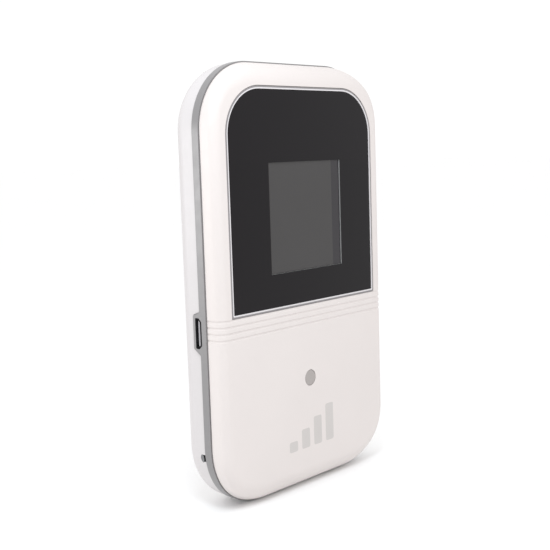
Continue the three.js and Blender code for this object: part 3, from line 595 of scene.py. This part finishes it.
def build_window():
    front, back = depth_of(lens_low.y), depth_of(lens_high.y)
    rings = [(window_outline(-inwards), front + deeper) for inwards, deeper in LENS_ROUND]
    rings.append((window_outline(0), back))
    glass = loft("window_glass", rings, [GLASS, WINDOW_EDGE_PAINTED_REFLECTION])
    left, right, bottom, top = view_sides(0)
    hole = [(left, bottom), (right, bottom), (right, top), (left, top)]
    # The opening's walls take the grey that paints the edge's reflection.
    boolean(glass, loft("opening", [(hole, -CUT_PAST), (hole, back + CUT_PAST)], [WINDOW_EDGE_PAINTED_REFLECTION]))
    smooth(glass, 30)
    place(glass, "case", "black_window", "window_lens")


def build_trim():
    """A ring with a flat land next to the lens and a chamfer outside it, its silver painted darker
    as shade.
    """
    front, back = depth_of(trim_low.y), depth_of(trim_high.y)
    land = TRIM_WIDTH - TRIM_CHAMFER["wide"]
    rings = [
        (window_outline(TRIM_PLAY), back),
        (window_outline(TRIM_PLAY), front + TRIM_ROUND["deep"]),
        (window_outline(TRIM_PLAY + TRIM_ROUND["wide"]), front),
        (window_outline(land), front),
        (window_outline(TRIM_WIDTH), front + TRIM_CHAMFER["deep"]),
        (window_outline(TRIM_WIDTH), back),
    ]
    ring = hoop("window_ring", rings, [SILVER, SILVER_PAINTED_SHADE])
    count = len(rings[0][0])
    # The chamfer's faces take the silver painted darker as shade.
    for face in ring.data.polygons[3 * count : 5 * count]:
        face.material_index = 1
    smooth(ring, 20)
    place(ring, "case", "silver_trim", "window_trim")


def build_display():
    """A panel whose raised middle fills the window opening, its border strip on the right."""
    sunk = depth_of(lens_low.y) + DISPLAY_SUNK
    left, right, bottom, top = view_sides(DISPLAY_PLAY)
    active = VIEW["x"] + VIEW["half"] - DISPLAY_STRIP
    step, back = depth_of(panel_low.y), depth_of(panel_high.y)
    vertices = []
    for d in (sunk, step):
        for z in (bottom, top):
            for x in (left, active, right):
                vertices.append((x, d, z))
    outer = len(vertices)
    for d in (step, back):
        for z in (panel_low.z / MM, panel_high.z / MM):
            for x in (panel_low.x / MM, panel_high.x / MM):
                vertices.append((x, d, z))
    picture, strip = (0, 1, 4, 3), (1, 2, 5, 4)
    raised_sides = [(0, 3, 9, 6), (2, 8, 11, 5), (0, 6, 7, 1), (1, 7, 8, 2)]
    raised_sides += [(3, 4, 10, 9), (4, 5, 11, 10)]
    o = outer
    rim = [(6, 9, o + 2, o), (8, o + 1, o + 3, 11), (6, o, o + 1, 8, 7), (9, 10, 11, o + 3, o + 2)]
    sides = [(o, o + 4, o + 5, o + 1), (o + 2, o + 3, o + 7, o + 6)]
    sides += [(o, o + 2, o + 6, o + 4), (o + 1, o + 5, o + 7, o + 3)]
    rear = (o + 4, o + 6, o + 7, o + 5)
    faces = [picture, strip, *raised_sides, *rim, *sides, rear]
    panel = make("display_screen", vertices, faces, [DISPLAY, DISPLAY_EDGE])
    for face in panel.data.polygons[1:]:
        face.material_index = 1
    place(panel, "case", "display_glass", "display_panel")


# ---------------------------------------------------------------- power button and print


def build_button():
    """The cap, its flange and its stem, turned round the button's axis."""
    front, back = depth_of(button_low.y), depth_of(button_high.y)
    profile = [(BUTTON_RADIUS - inwards, front + deeper) for inwards, deeper in BUTTON_ROUND]
    profile += [
        (BUTTON_RADIUS, FLANGE["front"]),
        (FLANGE["radius"], FLANGE["front"] + FLANGE["slope"]),
        (FLANGE["radius"], FLANGE["back"] - FLANGE["slope"]),
        (STEM_RADIUS, FLANGE["back"]),
        (STEM_RADIUS, back),
    ]
    button = loft("button_cap", [(circle(r, BUTTON_Z), depth) for r, depth in profile], [BUTTON])
    smooth(button, 28)
    place(button, "power_button", "button_grey", "power_button")


def build_mark():
    """A plain signal-strength sign: four bars of rising height, printed on the shell."""
    width, gap, base, corner = (SIGN[key] for key in ("width", "gap", "base", "corner"))
    total = len(SIGN_HEIGHTS) * (width + gap) - gap
    for i, height in enumerate(SIGN_HEIGHTS):
        middle = -total / 2 + i * (width + gap) + width / 2
        bar = outline(width, base, base + height, corner, corner, steps=5)
        points = [(middle + x, z) for x, z in bar]
        rings = [(points, -SIGN["proud"]), (points, SIGN["sunk"])]
        place(loft(f"signal_bar_{i + 1}", rings, [PRINT]), "case", "button_grey")


# ---------------------------------------------------------------- grey band


def bump_profile(grow=0.0):
    """Points (depth, z) of the bump, grown for the room that the cover leaves round it."""
    front = BAND_BACK - BUMP_ROOT
    return [
        (front, BUMP["base_low"] - grow),
        (BAND_BACK, BUMP["base_low"] - grow),
        (BUMP["back"] + grow, BUMP["top_low"] - grow),
        (BUMP["back"] + grow, BUMP["top_high"] + grow),
        (BAND_BACK, BUMP["base_high"] + grow),
        (front, BUMP["base_high"] + grow),
    ]


def rounded_polygon(points, radius, steps=6):
    """The same polygon with each corner turned into an arc."""
    made = []
    count = len(points)
    for i, corner in enumerate(points):
        here = Vector(corner)
        before = (Vector(points[i - 1]) - here).normalized()
        after = (Vector(points[(i + 1) % count]) - here).normalized()
        half = math.acos(max(-1, min(1, before.dot(after)))) / 2
        cut = radius / math.tan(half)
        start, end = here + before * cut, here + after * cut
        centre = here + (before + after).normalized() * (radius / math.sin(half))
        a0 = math.atan2(start.y - centre.y, start.x - centre.x)
        a1 = math.atan2(end.y - centre.y, end.x - centre.x)
        turn = (a1 - a0 + math.pi) % (2 * math.pi) - math.pi
        for k in range(steps + 1):
            angle = a0 + turn * k / steps
            made.append((centre.x + radius * math.cos(angle), centre.y + radius * math.sin(angle)))
    return made


def port_profile(wide, tall):
    """Points (depth, z) of the port's shape: a bar with two corners cut off at its front."""
    low, high = PORT_Z - wide / 2, PORT_Z + wide / 2
    back, front = PORT_DEPTH + tall / 2, PORT_DEPTH - tall / 2
    bevel = tall * PORT_BEVEL
    return [
        (front, low + bevel),
        (front + bevel, low),
        (back, low),
        (back, high),
        (front + bevel, high),
        (front, high - bevel),
    ]


def port_cutter():
    """The port's mouth, drawn in just under the band's face so that a thin rim is left, painted
    near-black as shade.
    """
    wide, tall = PORT_OPENING
    mouth = rounded_polygon(port_profile(wide, tall), PORT_CORNER)
    lip = port_profile(wide - 2 * PORT_LIP, tall - 2 * PORT_LIP)
    lip = [(d + PORT_LIP_BACK, z) for d, z in rounded_polygon(lip, PORT_LIP_CORNER)]
    face = -WIDTH / 2
    start, front, back, end = (face + deep for deep in PORT_LIP_DEPTHS)
    rings = [(mouth, face - CUT_PAST), (mouth, start), (lip, front), (lip, back)]
    rings += [(mouth, end), (mouth, face + BAND_WALL + CUT_PAST)]
    cutter = side_loft("mouth", rings, [BAND, PORT_PAINTED_SHADE])
    # The rim and the walls behind it take the near-black painted shade.
    caps_and_first_walls = 2 + len(mouth)
    for side in cutter.data.polygons[caps_and_first_walls:]:
        side.material_index = 1
    return cutter


def build_band():
    soft = BAND_SOFT
    rings = [
        (body_outline(soft), BAND_FRONT),
        (body_outline(soft * MID_EDGE), BAND_FRONT + soft * MID_EDGE),
        (body_outline(0), BAND_FRONT + soft),
        (body_outline(0), BAND_BACK - soft),
        (body_outline(soft * MID_EDGE), BAND_BACK - soft * MID_EDGE),
        (body_outline(soft), BAND_BACK),
        (body_outline(BAND_WALL), BAND_BACK),
        (body_outline(BAND_WALL), BAND_FRONT - LIP_AHEAD),
        (body_outline(LIP_INSET), BAND_FRONT - LIP_AHEAD),
        (body_outline(LIP_INSET), BAND_FRONT),
    ]
    band = hoop("grey_frame", rings, [BAND])
    rounded = rounded_polygon(bump_profile(), BUMP_CORNER)
    boolean(band, side_slab("bump", rounded, -WIDTH / 2, -WIDTH / 2 + BAND_WALL, [BAND]), "UNION")
    boolean(band, port_cutter())
    weld(band)
    smooth(band, 30)
    place(band, "case", "grey_band", "mid_band")


# ---------------------------------------------------------------- back cover


def cover_rings(wall, flat_depth, steps=16):
    """The rings of a skin that turns over from the straight rim to the flat back."""
    start = PROUD + wall
    rings = []
    for i in range(steps + 1):
        angle = math.pi / 2 * i / steps
        turned = 1 - math.cos(angle)
        side = start + (COVER_ROUND - wall) * turned
        end = start + (COVER_END_ROUND - wall) * turned
        depth = COVER_BEND + (flat_depth - COVER_BEND) * math.sin(angle)
        rings.append((uneven_outline(side, end), depth))
    return rings


def side_cutter(name, points, mat):
    """A cutter that goes a short way into the left side."""
    return side_slab(name, points, -WIDTH, -WIDTH / 2 + SIDE_CUT, [mat])


def dish_cutter():
    """A stretched ball that scoops the fingernail notch's dish out of the cover; its faces carry
    the dish's painted shade.
    """
    bpy.ops.mesh.primitive_uv_sphere_add(segments=48, ring_count=24, radius=DISH["radius"] * MM)
    dish = bpy.context.object
    dish.data.materials.append(DISH_PAINTED_SHADE)
    x, depth, z = -WIDTH / 2 - DISH["out"], COVER_RIM + DISH["back"], PRY_Z - DISH["down"]
    dish.data.transform(
        Matrix.Translation((x * MM, FRONT_Y + depth * MM, z * MM))
        @ Matrix.Diagonal((1, DISH["deep"], DISH["tall"], 1))
    )
    return dish


def build_cover():
    bevel = COVER_BEVEL
    rings = [*reversed(cover_rings(0, DEPTH)), (body_outline(PROUD), COVER_RIM + bevel)]
    rings += [(body_outline(PROUD + bevel), COVER_RIM), (body_outline(PROUD + WALL), COVER_RIM)]
    rings += cover_rings(WALL, DEPTH - COVER_BACK_WALL)
    cover = loft("cover_back", rings, [COVER_WHITE])
    boolean(cover, side_cutter("bump_room", bump_profile(BUMP_ROOM), COVER_WHITE))
    boolean(cover, dish_cutter())
    low, high = PRY_Z - SLOT_HALF, PRY_Z + SLOT_HALF
    front, back = COVER_RIM - CUT_PAST, COVER_RIM + SLOT_DEPTH
    slot = [(front, low), (back, low), (back, high), (front, high)]
    # The slot's faces are painted black as shade.
    boolean(cover, side_cutter("slot", slot, SLOT_PAINTED_SHADE))
    weld(cover)
    smooth(cover, 26)
    place(cover, "back_cover", "white_shell", "back_cover")


# ---------------------------------------------------------------- CAD nodes that stay

FINISHES = {
    "lens_tape": FOAM,
    "display_gasket": FOAM,
    "display_tray": TRAY,
    "display_flex": FLEX,
    "display_socket": NYLON,
    "power_switch": CHIP,
    "power_plunger": STEEL,
    "chassis": CHASSIS,
    "main_board": BOARD,
    "modem_shield": TIN,
    "power_shield": TIN,
    "modem_chip": CHIP,
    "memory_chip": CHIP,
    "power_chip": CHIP,
    "wifi_chip": CHIP,
    # The port's shell is painted near-black as shade.
    "usb_shell": STEEL_PAINTED_SHADE,
    "usb_tongue": TONGUE,
    "sim_socket_base": NYLON,
    "sim_socket_shell": TIN,
    "sim_card": CARD,
    "battery_cell": WRAP,
    "battery_cap": NYLON,
    "battery_connector": NYLON,
    "reset_switch": CHIP,
    "reset_plunger": NYLON,
    "antenna_main": COPPER,
    "antenna_second": COPPER,
    "antenna_wifi": COPPER,
    "bay_label": PAPER,
}
for stem, finish, count in (
    ("chassis_screw", STEEL, 4),
    ("battery_terminal", GOLD, 3),
    ("battery_contact", GOLD, 3),
):
    for number in range(1, count + 1):
        FINISHES[f"{stem}_{number}"] = finish
for name in ("main", "second", "wifi"):
    FINISHES[f"antenna_pin_{name}"] = GOLD

# Widths of the softened edges, on the pieces where they show
BEVELS = {
    "chassis": 0.12,
    "main_board": 0.05,
    "modem_shield": 0.12,
    "power_shield": 0.12,
    "sim_socket_shell": 0.08,
    "sim_card": 0.04,
    "battery_cell": 0.3,
    "battery_cap": 0.25,
    "battery_connector": 0.12,
}
MERGE_DISTANCE = 0.000004  # metres
BEVEL_ANGLE = math.radians(40)


def dress(name, finish):
    """Gives a CAD node its material, joined-up points and, where it has a bevel, soft edges."""
    obj = NODES[name]
    obj.data.materials.clear()
    obj.data.materials.append(finish)
    merge = obj.modifiers.new("merge", "WELD")
    merge.merge_threshold = MERGE_DISTANCE
    if name in BEVELS:
        bevel = obj.modifiers.new("edges", "BEVEL")
        bevel.width = BEVELS[name] * MM
        bevel.segments = 2
        bevel.limit_method = "ANGLE"
        bevel.angle_limit = BEVEL_ANGLE


# ---------------------------------------------------------------- floor, light and camera

# The camera stands where the photograph's did. Distances and sizes from here on are in metres.
CAMERA_LENS = 65.43
CAMERA_TURN = math.radians(47.453)
CAMERA_DIP = math.radians(7.007)
CAMERA_ROLL = math.radians(-1.875)
CAMERA_DISTANCE = 0.24839
CENTRE_RIGHT = 0.00279
CENTRE_DOWN = 0.00057
FLOOR_HALF = 6.0
FLOOR_TONE = 0.965
FLOOR_ROUGHNESS = 0.8
FLOOR_SPECULAR = 0.1
WORLD_STRENGTH = 1.04


def build_camera():
    data = bpy.data.cameras.new("camera")
    data.lens = CAMERA_LENS
    data.clip_start = 0.01
    camera = bpy.data.objects.new("camera", data)
    bpy.context.scene.collection.objects.link(camera)
    turn = (
        Matrix.Rotation(-CAMERA_TURN, 4, "Z")
        @ Matrix.Rotation(math.pi / 2 - CAMERA_DIP, 4, "X")
        @ Matrix.Rotation(CAMERA_ROLL, 4, "Z")
    )
    centre = Vector((0, 0, HEIGHT / 2 * MM))
    eye = centre + turn @ Vector((-CENTRE_RIGHT, CENTRE_DOWN, CAMERA_DISTANCE))
    camera.matrix_world = Matrix.Translation(eye) @ turn
    bpy.context.scene.camera = camera


def aim(obj, target):
    obj.rotation_mode = "QUATERNION"
    obj.rotation_quaternion = (Vector(target) - obj.location).to_track_quat("-Z", "Y")


def soft_light(name, place_at, target, size, power, colour=(1, 1, 1)):
    data = bpy.data.lights.new(name, "AREA")
    data.shape = "RECTANGLE"
    data.size, data.size_y = size
    data.energy = power
    data.color = colour
    lamp = bpy.data.objects.new(name, data)
    bpy.context.scene.collection.objects.link(lamp)
    lamp.location = place_at
    aim(lamp, target)


def build_floor():
    half = FLOOR_HALF
    corners = [(-half, -half, 0), (half, -half, 0), (half, half, 0), (-half, half, 0)]
    mesh = bpy.data.meshes.new("floor")
    mesh.from_pydata(corners, [], [(0, 1, 2, 3)])
    floor = bpy.data.objects.new("floor", mesh)
    bpy.context.scene.collection.objects.link(floor)
    paper = material("pale_floor")
    shader = shader_of(paper)
    shader.inputs["Base Color"].default_value = (FLOOR_TONE, FLOOR_TONE, FLOOR_TONE, 1)
    shader.inputs["Roughness"].default_value = FLOOR_ROUGHNESS
    shader.inputs["Specular IOR Level"].default_value = FLOOR_SPECULAR
    mesh.materials.append(paper)


def build_light():
    world = bpy.data.worlds.new("studio")
    world.use_nodes = True
    sky = world.node_tree.nodes["Background"]
    sky.inputs["Color"].default_value = (1, 1, 1, 1)
    sky.inputs["Strength"].default_value = WORLD_STRENGTH
    bpy.context.scene.world = world
    bpy.context.scene.view_settings.view_transform = "Standard"

    soft_light("key", (-0.09, -0.07, 0.17), (-0.02, 0, 0.09), (0.05, 0.05), 0.08, (0.92, 1, 1.06))
    soft_light("fill", (-0.04, -0.16, 0.24), (0, 0, 0.09), (0.2, 0.14), 0.04)
    soft_light("rear", (-0.28, 0.25, 0.07), (-0.03, 0.01, 0.06), (0.12, 0.1), 0.17)


build_front_shell()
build_window()
build_trim()
build_display()
build_button()
build_mark()
build_band()
build_cover()
for node_name, node_finish in FINISHES.items():
    dress(node_name, node_finish)
build_camera()
build_floor()
build_light()
